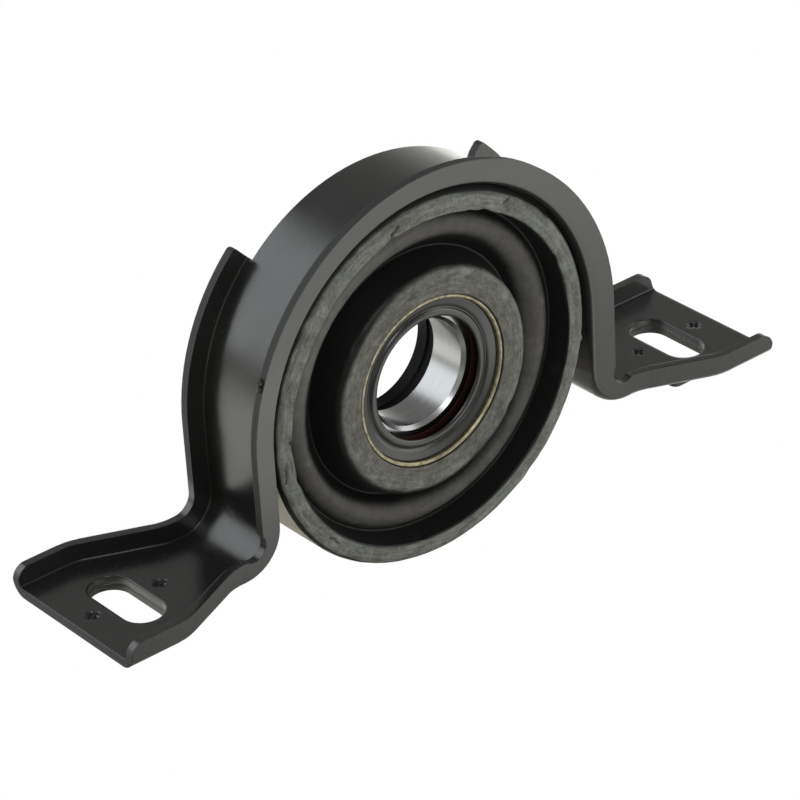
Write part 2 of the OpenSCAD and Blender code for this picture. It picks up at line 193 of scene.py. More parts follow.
def make_marks_group():
    """Sparse scuffs and dust specks from object coordinates, each as a mask from 0 to 1."""
    tree, given, result = new_group(
        "Handling Marks",
        [("Scuff Amount", "NodeSocketFloat", 0.5), ("Speck Amount", "NodeSocketFloat", 0.5)],
        [("Scuffs", "NodeSocketFloat"), ("Specks", "NodeSocketFloat")])
    stretch = add(tree, "ShaderNodeMapping")
    stretch.inputs["Scale"].default_value = (1.0, 0.22, 1.0)
    stretch.inputs["Rotation"].default_value = (0.3, 0.5, 0.2)
    tree.links.new(object_place(tree), stretch.inputs["Vector"])
    lines = noise(tree, stretch.outputs["Vector"], scale=700.0, detail=2.0, rough=0.5)
    patches = noise(tree, object_place(tree), scale=45.0, detail=3.0, rough=0.6)
    dots = noise(tree, object_place(tree), scale=1500.0, detail=1.0, rough=0.4)
    scuffed = times(tree, remap(tree, lines, *LINE_SPAN), remap(tree, patches, *PATCH_SPAN))
    scuffs = times(tree, scuffed, given.outputs["Scuff Amount"])
    specks = times(tree, remap(tree, dots, *DOT_SPAN), given.outputs["Speck Amount"])
    tree.links.new(scuffs, result.inputs["Scuffs"])
    tree.links.new(specks, result.inputs["Specks"])
    return tree


def make_rings_group():
    """Fine turned rings around the shaft, as a normal and as streaks."""
    tree, given, result = new_group(
        "Turned Rings",
        [("Ring Scale", "NodeSocketFloat", 3.0), ("Ring Height", "NodeSocketFloat", 0.000004)],
        [("Normal", "NodeSocketVector"), ("Streaks", "NodeSocketFloat")])
    _, _, radius, depth = shaft_place(tree)
    place = join_xyz(tree, radius, depth, 0.0)
    rings = noise(tree, place, given.outputs["Ring Scale"], detail=4.0, rough=0.7)
    bump = bumped(tree, rings, given.outputs["Ring Height"])
    tree.links.new(bump.outputs["Normal"], result.inputs["Normal"])
    tree.links.new(rings, result.inputs["Streaks"])
    return tree


GRAIN = make_grain_group()
MARKS = make_marks_group()
RINGS = make_rings_group()


# Materials

# Spans of a mottle's or streak's value over which colour and roughness change
COLOUR_SPAN = (0.35, 0.68)
ROUGH_SPAN = (0.3, 0.7)
STREAK_SPAN = (0.3, 0.7)

# Places on the bracket, in metres, between which an effect of the paint's shading grows from none to full
FOLD_Y = (0.008, 0.010)
ABOVE_FEET_Z = (-0.0300, -0.0297)
FLANGE_EDGE_Y = (0.0127, 0.0131)
LEG_Z = (-0.0200, -0.0140)
FOOT_END_X = (0.1085, 0.1095)

# Parts of a unit normal, between which the same holds
FOLD_TURN = (0.56, 0.78)
LEAVES_Y = (0.35, 0.75)
FACES_X = (0.5, 0.8)

# Softening of the sheet's edges, and how much rougher a cut edge is
SHEET_EDGE_R = 1.1 * MM
CUT_EDGE_DULL = 0.5

# Colours, and the height over which the shell turns black as painted shade of the bracket over it
SCUFFED_PAINT = (0.11, 0.112, 0.115)
DUST_ON_PAINT = (0.10, 0.10, 0.095)
DUST_ON_METAL = (0.16, 0.16, 0.15)
PAINTED_SHADE_BLACK = (0.006, 0.006, 0.006)
PAINTED_SHADE_BLEND = 8 * MM
BARE_RUBBER = (0.0045, 0.0046, 0.0045)
TALC_WARM = (0.176, 0.171, 0.152)
TALC_COOL = (0.176, 0.192, 0.174)
TALC_ON_ROLL = (0.172, 0.163, 0.150)
TALC_NEAR_BORE = (0.158, 0.149, 0.134)

# Streaks in the talc, to a radian around the ring and to a millimetre across it
STREAKS_AROUND = 6.5
STREAKS_ACROSS = 1.25

# Radii on the cushion, in millimetres, between which the talc or the rubber's look changes
ROLL_STARTS, ROLL_ENDS = (33.0, 35.0), (44.5, 46.5)
HUB_FACE = (25.0, 30.5)
RIM_FLANK = (51.5, 52.5)


def new_material(name, **values):
    """A material with a Principled BSDF, its constants set on the shader's own sockets."""
    material = bpy.data.materials.new(name)
    material.use_nodes = True
    tree = material.node_tree
    shader = tree.nodes["Principled BSDF"]
    for label, value in values.items():
        shader.inputs[label.replace("_", " ").title().replace("Ior", "IOR")].default_value = value
    return material, tree, shader


def use_group(tree, group, **values):
    """A shared effect with its numbers."""
    node = add(tree, "ShaderNodeGroup", node_tree=group)
    for label, value in values.items():
        node.inputs[label.replace("_", " ").title()].default_value = value
    return node


def grained(tree, shader, normal=None, **values):
    """Lays the fine grain on a normal, or else on the surface's own. Returns the slow mottle."""
    grain = use_group(tree, GRAIN, **values)
    if normal is None:
        normal = add(tree, "ShaderNodeNewGeometry").outputs["Normal"]
    tree.links.new(normal, grain.inputs["Base Normal"])
    tree.links.new(grain.outputs["Normal"], shader.inputs["Normal"])
    return grain.outputs["Mottle"]


def tight_fold(tree, normal):
    """Draws the folds between web and flanges tighter: past a fold's middle the normal turns quickly."""
    _, y_place, z_place = split_xyz(tree, object_place(tree))
    beside = remap(tree, maths(tree, "ABSOLUTE", y_place), *FOLD_Y)
    above = remap(tree, z_place, *ABOVE_FEET_Z)
    x, y, z = split_xyz(tree, normal)
    over = remap(tree, maths(tree, "ABSOLUTE", y), *FOLD_TURN)
    rest = maths(tree, "SUBTRACT", 1.0, over)
    to_side = times(tree, maths(tree, "SIGN", y), over)
    turned = join_xyz(tree, times(tree, x, rest), to_side, times(tree, z, rest))
    mix = add(tree, "ShaderNodeMix", data_type="VECTOR")
    tree.links.new(times(tree, beside, above), mix.inputs[0])
    tree.links.new(normal, mix.inputs[4])
    tree.links.new(turned, mix.inputs[5])
    unit = add(tree, "ShaderNodeVectorMath", operation="NORMALIZE")
    tree.links.new(mix.outputs[1], unit.inputs[0])
    return unit.outputs[0]


def cut_edge(tree, normal):
    """Mask of the sheet's cut edges: the arch's and legs' flange edges and the ends of the feet."""
    x, y, z = split_xyz(tree, object_place(tree))
    to_x, to_y, _ = split_xyz(tree, normal)
    at_flange = remap(tree, maths(tree, "ABSOLUTE", y), *FLANGE_EDGE_Y)
    off_axis = remap(tree, maths(tree, "ABSOLUTE", to_y), *LEAVES_Y, 1.0, 0.0)
    at_end = remap(tree, maths(tree, "ABSOLUTE", x), *FOOT_END_X)
    outward = remap(tree, maths(tree, "ABSOLUTE", to_x), *FACES_X)
    flange_edge = times(tree, at_flange, remap(tree, z, *LEG_Z), off_axis)
    return maths(tree, "MAXIMUM", flange_edge, times(tree, at_end, outward))


def paint_material(name, colour, rough, scuffs):
    """Black paint with a faint orange peel, softened sheet edges, dull cut edges and a few scuffs."""
    material, tree, shader = new_material(name, specular_ior_level=0.55)
    edge = add(tree, "ShaderNodeBevel", samples=8)
    edge.inputs["Radius"].default_value = SHEET_EDGE_R
    soft = edge.outputs["Normal"]
    folded = tight_fold(tree, soft)
    mottle = grained(tree, shader, folded, grain_scale=700.0, grain_height=0.000012, mottle_scale=38.0)
    marks = use_group(tree, MARKS, scuff_amount=scuffs, speck_amount=0.25)
    base = mix_colour(tree, marks.outputs["Scuffs"], colour, SCUFFED_PAINT)
    base = mix_colour(tree, marks.outputs["Specks"], base, DUST_ON_PAINT)
    tree.links.new(base, shader.inputs["Base Color"])
    even = remap(tree, mottle, *ROUGH_SPAN, rough - 0.05, rough + 0.06)
    scuffed = times(tree, marks.outputs["Scuffs"], 0.3)
    dull = times(tree, cut_edge(tree, soft), CUT_EDGE_DULL)
    tree.links.new(plus(tree, even, scuffed, dull), shader.inputs["Roughness"])
    return material


def steel_material(name, colour, rough, ring_height):
    """Turned and ground steel with fine rings around the shaft."""
    material, tree, shader = new_material(name, metallic=1.0, anisotropic=0.55)
    rings = use_group(tree, RINGS, ring_scale=3.5, ring_height=ring_height)
    tree.links.new(rings.outputs["Normal"], shader.inputs["Normal"])
    x, z, _, _ = shaft_place(tree)
    around = join_xyz(tree, times(tree, z, -1.0), 0.0, x)
    tree.links.new(around, shader.inputs["Tangent"])
    streaks = rings.outputs["Streaks"]
    dark = tuple(0.82 * c for c in colour)
    base = mix_colour(tree, remap(tree, streaks, *STREAK_SPAN), dark, colour)
    tree.links.new(base, shader.inputs["Base Color"])
    uneven = remap(tree, streaks, *STREAK_SPAN, rough * 0.8, rough * 1.3)
    tree.links.new(uneven, shader.inputs["Roughness"])
    return material


def plain_material(name, colour, other, rough, metallic, scale, specks, painted_shade_above=None, specular=0.5):
    """A mottled surface between two colours with specks of dust. Above a height, if given, it turns black as
    painted shade.
    """
    material, tree, shader = new_material(name, metallic=metallic, specular_ior_level=specular)
    mottle = grained(tree, shader, grain_scale=1300.0, grain_height=0.00002, mottle_scale=scale)
    marks = use_group(tree, MARKS, scuff_amount=0.4, speck_amount=specks)
    base = mix_colour(tree, remap(tree, mottle, *COLOUR_SPAN), colour, other)
    base = mix_colour(tree, marks.outputs["Specks"], base, DUST_ON_METAL)
    if painted_shade_above is not None:
        # Painted shade: above this height the colour turns black, standing in for the bracket's shadow
        _, _, z = split_xyz(tree, object_place(tree))
        over = remap(tree, z, painted_shade_above, painted_shade_above + PAINTED_SHADE_BLEND)
        base = mix_colour(tree, over, base, PAINTED_SHADE_BLACK)
    tree.links.new(base, shader.inputs["Base Color"])
    uneven = remap(tree, mottle, *ROUGH_SPAN, rough - 0.06, rough + 0.08)
    tree.links.new(uneven, shader.inputs["Roughness"])
    return material


def plastic_material(name, dark, light, rough, specular):
    """Dark moulded plastic with a faint mottle."""
    material, tree, shader = new_material(name, roughness=rough, specular_ior_level=specular)
    mottle = grained(tree, shader, grain_scale=1300.0, grain_height=0.00001, mottle_scale=240.0)
    base = mix_colour(tree, remap(tree, mottle, *COLOUR_SPAN), dark, light)
    tree.links.new(base, shader.inputs["Base Color"])
    return material


def rubber_material():
    """Black moulded rubber under uneven grey talc. The mesh carries how much talc lies where, and where bare
    rubber is left as painted shade.
    """
    material, tree, shader = new_material("cushion_rubber", specular_ior_level=0.16)
    grained(tree, shader, grain_scale=1100.0, grain_height=0.00006, mottle_scale=170.0)
    talc_and_shade = add(tree, "ShaderNodeAttribute", attribute_name="talc_and_shade")
    x, z, radius, depth = shaft_place(tree)

    # Blotches, flecks and streaks; the streaks are long around the ring and short across it
    blotch = noise(tree, object_place(tree), scale=260.0, detail=7.0, rough=0.72)
    fleck = noise(tree, object_place(tree), scale=1100.0, detail=3.0, rough=0.65)
    around = [maths(tree, "DIVIDE", times(tree, part, STREAKS_AROUND / MM), radius) for part in (x, z)]
    across = plus(tree, times(tree, radius, STREAKS_ACROSS), depth)
    streaks = noise(tree, join_xyz(tree, *around, across), scale=1.0, detail=5.0, rough=0.68)
    blend = plus(tree, times(tree, blotch, 0.28), times(tree, fleck, 0.27), times(tree, streaks, 0.45))
    patchy = remap(tree, blend, 0.40, 0.59, 0.34, 1.0)

    # The roll between hub and rim is covered more evenly
    on_roll = times(tree, remap(tree, radius, *ROLL_STARTS), remap(tree, radius, *ROLL_ENDS, 1.0, 0.0))
    calm = plus(tree, times(tree, patchy, 0.35), 0.44)
    calmer = times(tree, maths(tree, "SUBTRACT", calm, patchy), on_roll)
    cover = times(tree, talc_and_shade.outputs["Fac"], plus(tree, patchy, calmer))

    dust = mix_colour(tree, remap(tree, blotch, 0.40, 0.60), TALC_WARM, TALC_COOL)
    dust = mix_colour(tree, times(tree, on_roll, 0.8), dust, TALC_ON_ROLL)
    dust = mix_colour(tree, remap(tree, radius, *HUB_FACE, 0.75, 0.0), dust, TALC_NEAR_BORE)
    base = mix_colour(tree, cover, BARE_RUBBER, dust)
    tree.links.new(base, shader.inputs["Base Color"])
    flank = remap(tree, radius, *RIM_FLANK, 0.0, 0.45)
    dusty = remap(tree, cover, 0.0, 0.6, 0.42, 0.80)
    tree.links.new(plus(tree, dusty, flank), shader.inputs["Roughness"])
    return material


black_paint = paint_material("black_paint", (0.0105, 0.0107, 0.0102), rough=0.22, scuffs=0.22)
plate_paint = paint_material("plate_paint", (0.012, 0.0122, 0.012), rough=0.42, scuffs=0.4)
# The shell's upper half, inside the bracket, is painted black as shade
shell_steel = plain_material(
    "shell_steel", (0.52, 0.48, 0.40), (0.34, 0.31, 0.26),
    rough=0.45, metallic=0.8, scale=90.0, specks=0.3, painted_shade_above=0.0)
cushion_rubber = rubber_material()
plated_steel = plain_material(
    "plated_steel", (0.30, 0.27, 0.18), (0.13, 0.115, 0.075),
    rough=0.42, metallic=0.85, scale=700.0, specks=0.2)
dark_plastic = plastic_material(
    "dark_plastic", (0.0028, 0.0028, 0.0030), (0.0032, 0.0032, 0.0034), rough=0.50, specular=0.05)
satin_plastic = plastic_material(
    "satin_plastic", (0.0034, 0.0035, 0.0037), (0.0050, 0.0051, 0.0054), rough=0.24, specular=0.50)
race_steel = steel_material("race_steel", (0.29, 0.29, 0.294), rough=0.22, ring_height=0.000003)
seal_rubber = plain_material(
    "seal_rubber", (0.017, 0.0036, 0.0024), (0.013, 0.0030, 0.0021),
    rough=0.75, metallic=0.0, scale=300.0, specks=0.0, specular=0.12)
cage_steel = steel_material("cage_steel", (0.55, 0.54, 0.52), rough=0.3, ring_height=0.000004)
ball_steel = steel_material("ball_steel", (0.8, 0.8, 0.81), rough=0.06, ring_height=0.0)
LOOKS = {
    "black_paint": black_paint, "plate_paint": plate_paint, "shell_steel": shell_steel,
    "cushion_rubber": cushion_rubber, "plated_steel": plated_steel, "dark_plastic": dark_plastic,
    "race_steel": race_steel, "seal_rubber": seal_rubber, "cage_steel": cage_steel, "ball_steel": ball_steel,
}
for part in frame["record"]["subparts"]:
    mesh = nodes[part["node"]].data
    mesh.materials.clear()
    mesh.materials.append(LOOKS[part["material_slot"]])


# Rubber cushion as a detailed mesh, in millimetres: the CAD profile with talc, nicks and moulding flash

# How far the ring's centre lies above the shaft's, and how far the rim's face leans in at the top
LIFT, LEAN = 1.2, 1.5

# Radius, depth and rounding of the places on the profile
BORE_R, FRONT_Y = 24.0, -8.1
HUB_R, HUB_Y, HUB_ROUND = 32.0, -12.4, 2.2
HUB_FOOT_R, HUB_FOOT_Y = 34.5, -3.1
ROLL_T, ROLL_BULGE = 3.8, 3.8
GROOVE_R, GROOVE_Y = 45.2, -5.9
RIM_INNER_R, RIM_INNER_ROUND = 46.8, 0.7
RIM_R, RIM_Y, RIM_ROUND = 52.4, -12.6, 1.9
RIM_BACK_Y = -10.42
SHELL_SEAT_R, REAR_Y = 51.0, 10.5
WALL_R = 48.8
SLEEVE_SEAT_R, SLEEVE_SEAT_Y = 29.1, 9.3
FLASH_R = 50.4
CRACK_R, CRACK_WIDTH, CRACK_DEPTH = 48.0, 0.24, 0.55

# The mesh: profile points that lie in the bore, even turns, and the step and margin in degrees at cracks
BORE_POINTS = 3
EVEN_TURNS = 500
CLOSE_STEP, CLOSE_MARGIN = 0.17, 0.2

# Regions of the cushion's front: between which radii, and before or behind which depth
INNER_EDGE_BAND, INNER_EDGE_Y = (46.6, 48.2), -11.5
HUB_EDGE_BAND, HUB_FRONT_Y = (29.5, 32.6), -9.0
HUB_BAND = (0.0, 33.0)
ROLL_BAND, ROLL_FRONT_Y = (35.2, 45.0), -9.6
RIM_BAND, RIM_FRONT_Y = (46.5, 60.0), -10.4
CRACKS_Y = -11.0


def roll_y(r):
    """Depth of the roll's front at a radius: a straight line with a bulge on it."""
    t = (r - HUB_FOOT_R) / (GROOVE_R - HUB_FOOT_R)
    return HUB_FOOT_Y + (GROOVE_Y - HUB_FOOT_Y) * t - ROLL_BULGE * math.sin(math.pi * t)


def arc_points(cx, cy, r, start, stop, count):
    """Points on an arc between two angles in degrees, both ends included."""
    angles = np.radians(np.linspace(start, stop, count))
    return [(cx + r * math.cos(a), cy + r * math.sin(a)) for a in angles]


def line_points(a, b, step):
    """Points about a step apart on a line, its end left out."""
    count = max(int(math.hypot(b[0] - a[0], b[1] - a[1]) / step), 1)
    return [(a[0] + (b[0] - a[0]) * i / count, a[1] + (b[1] - a[1]) * i / count) for i in range(count)]


def cushion_profile():
    """Closed profile of radius and depth, starting in the hub's bore and going out over the front."""
    slope = math.degrees(math.atan2(HUB_FOOT_R - HUB_R, HUB_FOOT_Y - HUB_Y))
    hub_edge = arc_points(HUB_R - HUB_ROUND, HUB_Y + HUB_ROUND, HUB_ROUND, -90, -slope, 9)
    points = line_points((BORE_R, FRONT_Y), (BORE_R, HUB_Y + 0.4), 1.5)
    points += [(BORE_R, HUB_Y + 0.25), (BORE_R + 0.25, HUB_Y)]
    points += line_points((BORE_R + 0.6, HUB_Y), hub_edge[0], 0.45)
    points += hub_edge
    foot = (HUB_FOOT_R - 0.25, HUB_FOOT_Y - 0.7)
    points += line_points(hub_edge[-1], foot, 0.5)[1:]
    points += [foot, (HUB_FOOT_R, HUB_FOOT_Y - 0.25)]
    points += [(r, roll_y(r)) for r in np.linspace(HUB_FOOT_R + 0.45, GROOVE_R - 0.35, 27)]
    points += [(GROOVE_R + 0.02, GROOVE_Y - 0.35)]
    inner_edge = arc_points(
        RIM_INNER_R + RIM_INNER_ROUND, RIM_Y + RIM_INNER_ROUND, RIM_INNER_ROUND, 180, 270, 6)
    points += line_points((GROOVE_R + 0.15, GROOVE_Y - 0.9), inner_edge[0], 0.5)
    points += inner_edge
    outer_edge = arc_points(RIM_R - RIM_ROUND, RIM_Y + RIM_ROUND, RIM_ROUND, 270, 360, 10)
    points += line_points(inner_edge[-1], outer_edge[0], 0.42)[1:]
    points += outer_edge

    # Behind the rim, along the shell, and back through the hollow at the rear
    points += [(RIM_R, RIM_BACK_Y), (SHELL_SEAT_R + 0.05, RIM_BACK_Y)]
    points += line_points((SHELL_SEAT_R, -10.0), (SHELL_SEAT_R, REAR_Y), 3.0)
    points += [(SHELL_SEAT_R - 0.2, REAR_Y), (WALL_R + 0.2, REAR_Y)]
    points += line_points((WALL_R, REAR_Y - 0.3), (WALL_R, 0.4), 2.0)
    points += [(WALL_R - 0.5, -0.6), (WALL_R - 1.8, -1.6)]
    points += [(r, roll_y(r) + ROLL_T) for r in np.linspace(GROOVE_R, HUB_FOOT_R, 12)]
    points += line_points((HUB_FOOT_R - 0.2, 1.6), (HUB_R + 0.3, SLEEVE_SEAT_Y - 0.1), 2.0)
    points += [(HUB_R - 0.2, SLEEVE_SEAT_Y + 0.3), (SLEEVE_SEAT_R + 0.3, SLEEVE_SEAT_Y + 0.3)]
    points += line_points((SLEEVE_SEAT_R, SLEEVE_SEAT_Y), (SLEEVE_SEAT_R, FRONT_Y + 0.1), 3.0)
    points += [(SLEEVE_SEAT_R, FRONT_Y)]
    return np.array(points)


def smooth(t):
    """A soft step from 0 to 1."""
    t = np.clip(t, 0.0, 1.0)
    return t * t * (3 - 2 * t)


def within(values, band):
    """True where a value lies between the two of a band."""
    return (values > band[0]) & (values < band[1])


def turn_from(degrees, angles):
    """The turn from one angle in degrees to others in radians, between minus and plus half a turn."""
    return np.angle(np.exp(1j * (angles - math.radians(degrees))))


def ring_noise(seed, angles, count):
    """Smooth random values around the ring, from a few seeded waves."""
    pick = np.random.RandomState(seed)
    total = np.zeros_like(angles)
    for _ in range(count):
        wave = pick.randint(2, 70)
        total += pick.uniform(0.4, 1.0) / (1 + wave / 25) * np.sin(wave * angles + pick.uniform(0, 6.28))
    return total / math.sqrt(count)


def turn_angles():
    """Angles around the ring, closer together where the cracks are."""
    close = [(99.6, 105.2), (55.6, 58.2), (176.5, 183.0), (185.5, 192.5), (220.5, 226.5)]
    fine = [np.arange(a, b, CLOSE_STEP) for a, b in close]
    even = np.arange(0.0, 360.0, 360.0 / EVEN_TURNS)
    even = even[[not any(a - CLOSE_MARGIN < t < b + CLOSE_MARGIN for a, b in close) for t in even]]
    return np.radians(np.sort(np.concatenate([even] + fine)))


def front_points(profile):
    """True for the profile's points from the hub's face to the rim's back edge."""
    to_back = np.hypot(profile[:, 0] - RIM_R, profile[:, 1] - RIM_BACK_Y)
    front = np.zeros(len(profile), bool)
    front[BORE_POINTS:int(np.argmin(to_back))] = True
    return front


def rough_moulding(rows, turns):
    """Random unevenness of the rubber, evened out twice over its neighbours."""
    rough = np.random.RandomState(11).normal(0, 1, (rows, turns))
    for _ in range(2):
        total = rough
        for shift, axis in ((1, 1), (-1, 1), (1, 0), (-1, 0)):
            total = total + np.roll(rough, shift, axis)
        rough = total / 5
    return rough


def crack_mask(r0, angles):
    """Thin cracks, 1 in a crack's middle. Each is a line of angles in degrees and radii."""
    cracks = [
        [(100.4, 49.8), (101.8, 48.9), (103.6, 48.7), (103.3, 47.9), (104.4, 46.8)],
        [(56.2, 51.2), (57.0, 50.5), (57.6, 49.7)], [(179.0, 47.9), (-179.6, 47.2), (-177.5, 46.9)],
        [(-168.0, 50.8), (-170.5, 50.1), (-174.0, 49.8)], [(-134.0, 49.4), (-137.0, 48.9), (-139.0, 49.2)],
    ]
    torn = np.zeros((len(r0), len(angles)))
    for line in cracks:
        for (start, start_r), (stop, stop_r) in zip(line[:-1], line[1:]):
            middle = (start + stop) / 2 if abs(start - stop) < 180 else start
            start_s, stop_s = (CRACK_R * turn_from(middle, math.radians(a)) for a in (start, stop))
            off_s, off_r = CRACK_R * turn_from(middle, angles) - start_s, r0 - start_r
            run_s, run_r = stop_s - start_s, stop_r - start_r
            t = np.clip((off_s * run_s + off_r * run_r) / (run_s ** 2 + run_r ** 2), 0.0, 1.0)
            off = np.hypot(off_s - t * run_s, off_r - t * run_r)
            torn = np.maximum(torn, np.exp(-(off / CRACK_WIDTH) ** 2))
    return torn


def surface_moves(r0, y0, front, angles, rough):
    """How far each point of the front moves out along the profile's normal."""
    move = np.where(front, 0.035 * rough, 0.0)
    flash = np.clip(ring_noise(3, angles, 30), -0.6, 1.5)
    move += np.where(front & (r0 > FLASH_R), smooth((r0 - FLASH_R) / 1.6), 0.0) * (0.13 * flash)
    at_inner_edge = front & within(r0, INNER_EDGE_BAND) & (y0 < INNER_EDGE_Y)
    move += np.where(at_inner_edge, 0.6, 0.0) * (0.14 * ring_noise(5, angles, 26))
    at_hub_edge = front & within(r0, HUB_EDGE_BAND) & (y0 < HUB_FRONT_Y)
    move += np.where(at_hub_edge, 0.5, 0.0) * (0.12 * ring_noise(7, angles, 24))

    # Nicks and lumps: angle in degrees, radius, size along and across, height
    spots = [
        (71, 45.3, 1.3, 1.6, -0.7), (59.7, 49.2, 1.0, 1.2, 0.5), (64, 47.0, 1.8, 0.8, -0.6),
        (104, 47.1, 2.2, 0.8, -0.5), (151, 51.2, 2.0, 0.7, -0.5), (-166, 46.9, 1.6, 0.8, -0.6),
        (-127, 51.6, 2.5, 0.7, -0.35), (-98, 47.0, 1.4, 0.9, -0.5), (-52, 51.3, 1.8, 0.7, -0.4),
        (-20, 47.0, 1.6, 0.8, -0.5), (23, 46.9, 1.5, 0.8, -0.45), (38, 51.0, 1.6, 0.7, -0.45),
        (-170, 37.6, 1.0, 0.9, -0.3), (25, 42.4, 1.3, 0.8, -0.3), (-60, 40.6, 1.0, 0.8, 0.25),
        (128, 39.6, 1.2, 0.8, -0.25), (-120, 30.6, 1.4, 0.7, -0.4), (140, 31.0, 1.8, 0.7, -0.4),
        (78, 31.2, 1.4, 0.8, -0.4), (-35, 31.0, 1.4, 0.7, -0.4), (175, 27.6, 1.2, 1.0, -0.2),
        (57, 48.9, 0.9, 0.8, -0.4), (54, 45.6, 0.9, 0.7, -0.4), (6.5, 41.3, 1.0, 0.8, 0.45),
        (-12.5, 40.7, 1.2, 0.9, 0.30), (-10, 51.8, 0.8, 0.8, 0.45), (179.5, 46.6, 0.9, 0.8, -0.55),
        (-177, 46.4, 1.6, 0.8, -0.5), (-76, 48.4, 1.0, 0.9, 0.22), (-135, 48.4, 0.9, 0.8, -0.3),
    ]
    for degrees, radius, size_along, size_across, height in spots:
        along = turn_from(degrees, angles) * radius
        bump = np.exp(-(along / size_along) ** 2 - ((r0 - radius) / size_across) ** 2)
        move += np.where(front, height * bump, 0.0)
    return move


def talc_and_painted_shade(r0, y0, front, angles, rough, torn):
    """How much talc lies where, from 0 to 1. It is heavy on the faces of rim and hub and stops short of their
    round edges, thin on the roll's crest, and missing in the grooves and cracks. Bare black rubber is left as
    painted shade on the rim's round outer edge beside the bracket and on the roll below the hub's foot."""
    side, height = np.cos(angles), np.sin(angles)

    def lobe(degrees, width):
        return np.exp(-(np.degrees(turn_from(degrees, angles)) / width) ** 2)

    # Painted shade: the talc stops at the rim's flat face, so bare black rubber on the round outer edge
    # stands in for the shade beside the bracket
    rim_edge_r = 51.95 + 0.20 * ring_noise(23, angles, 40)
    inner_edge_r = 46.7 + 0.5 * smooth((0.2 - height) / 0.6)
    on_rim = front & within(r0, RIM_BAND) & (y0 < RIM_FRONT_Y)
    spread = smooth((rim_edge_r - r0) / 0.4) * smooth((-11.3 - y0) / 0.5) * smooth((r0 - inner_edge_r) / 0.35)
    talc_and_shade = np.where(on_rim, 0.86 * spread, 0.0)

    hub_edge_r = 31.35 + 0.45 * np.cos(angles - math.radians(30)) - 0.8 * lobe(138, 24)
    hub_edge_r = hub_edge_r - 1.0 * lobe(300, 20) + 0.25 * ring_noise(29, angles, 40)
    on_hub = front & within(r0, HUB_BAND) & (y0 < HUB_FRONT_Y)
    talc_and_shade = np.where(on_hub, 0.76 * smooth((hub_edge_r + 0.35 - r0) / 1.7), talc_and_shade)

    # Painted shadow: the roll's talc starts at this radius, further out on the left, so bare black rubber
    # there stands in for the hub foot's shadow
    roll_shade_edge_r = 36.7 + 0.9 * np.cos(3 * (angles - math.radians(65))) - 0.5 * side
    outside_r = 43.9 + 0.9 * smooth((0.25 - side) / 0.5)
    on_roll = front & within(r0, ROLL_BAND) & (y0 > ROLL_FRONT_Y)
    crest = smooth((r0 - roll_shade_edge_r) / 2.2) * smooth((outside_r - r0) / 2.2)
    dusty = 0.43 + 0.34 * smooth(0.35 - 0.9 * side) * smooth(0.4 + 1.4 * height)
    talc_and_shade = np.where(on_roll, dusty * crest, talc_and_shade)

    # Patches with more or less talc: angle in degrees, radius, size, gain
    patches = [
        (66, 30.4, 1.6, 0.40), (48, 30.5, 1.2, 0.35), (31, 28.8, 1.6, 0.30), (-41, 28.9, 2.4, -0.40),
        (-74, 48.1, 1.6, 0.40), (195, 40.5, 1.0, 0.60), (225, 47.8, 1.2, 0.30), (60, 48.7, 2.6, 0.25),
        (28, 50.4, 2.2, 0.25), (-12.5, 40.7, 1.2, 0.45), (6.5, 41.3, 1.0, 0.35), (180, 25.2, 1.4, 0.30),
        (135, 25.0, 1.4, 0.30), (255, 28.8, 2.0, 0.25), (-60, 28.8, 1.6, -0.25), (150, 48.3, 2.2, 0.2),
    ]
    for degrees, radius, size, gain in patches:
        along = turn_from(degrees, angles) * radius
        talc_and_shade = talc_and_shade * (1.0 + gain * np.exp(-(along ** 2 + (r0 - radius) ** 2) / size ** 2))
    talc_and_shade = talc_and_shade * (1.0 + 0.22 * ring_noise(17, angles, 22))
    talc_and_shade = talc_and_shade * (1.0 - torn)
    talc_and_shade = np.where(front, talc_and_shade, 0.05)
    return np.clip(talc_and_shade + np.where(talc_and_shade > 0.02, 0.06 * rough, 0.0), 0.0, 1.0)


def new_item(name, mesh, material):
    """An object in the scene with one material."""
    item = bpy.data.objects.new(name, mesh)
    scene.collection.objects.link(item)
    mesh.materials.append(material)
    return item


def point_values(mesh, name, values):
    """Stores one number for each point of a mesh."""
    layer = mesh.attributes.new(name, "FLOAT", "POINT")
    layer.data.foreach_set("value", values.reshape(-1).astype(np.float32))


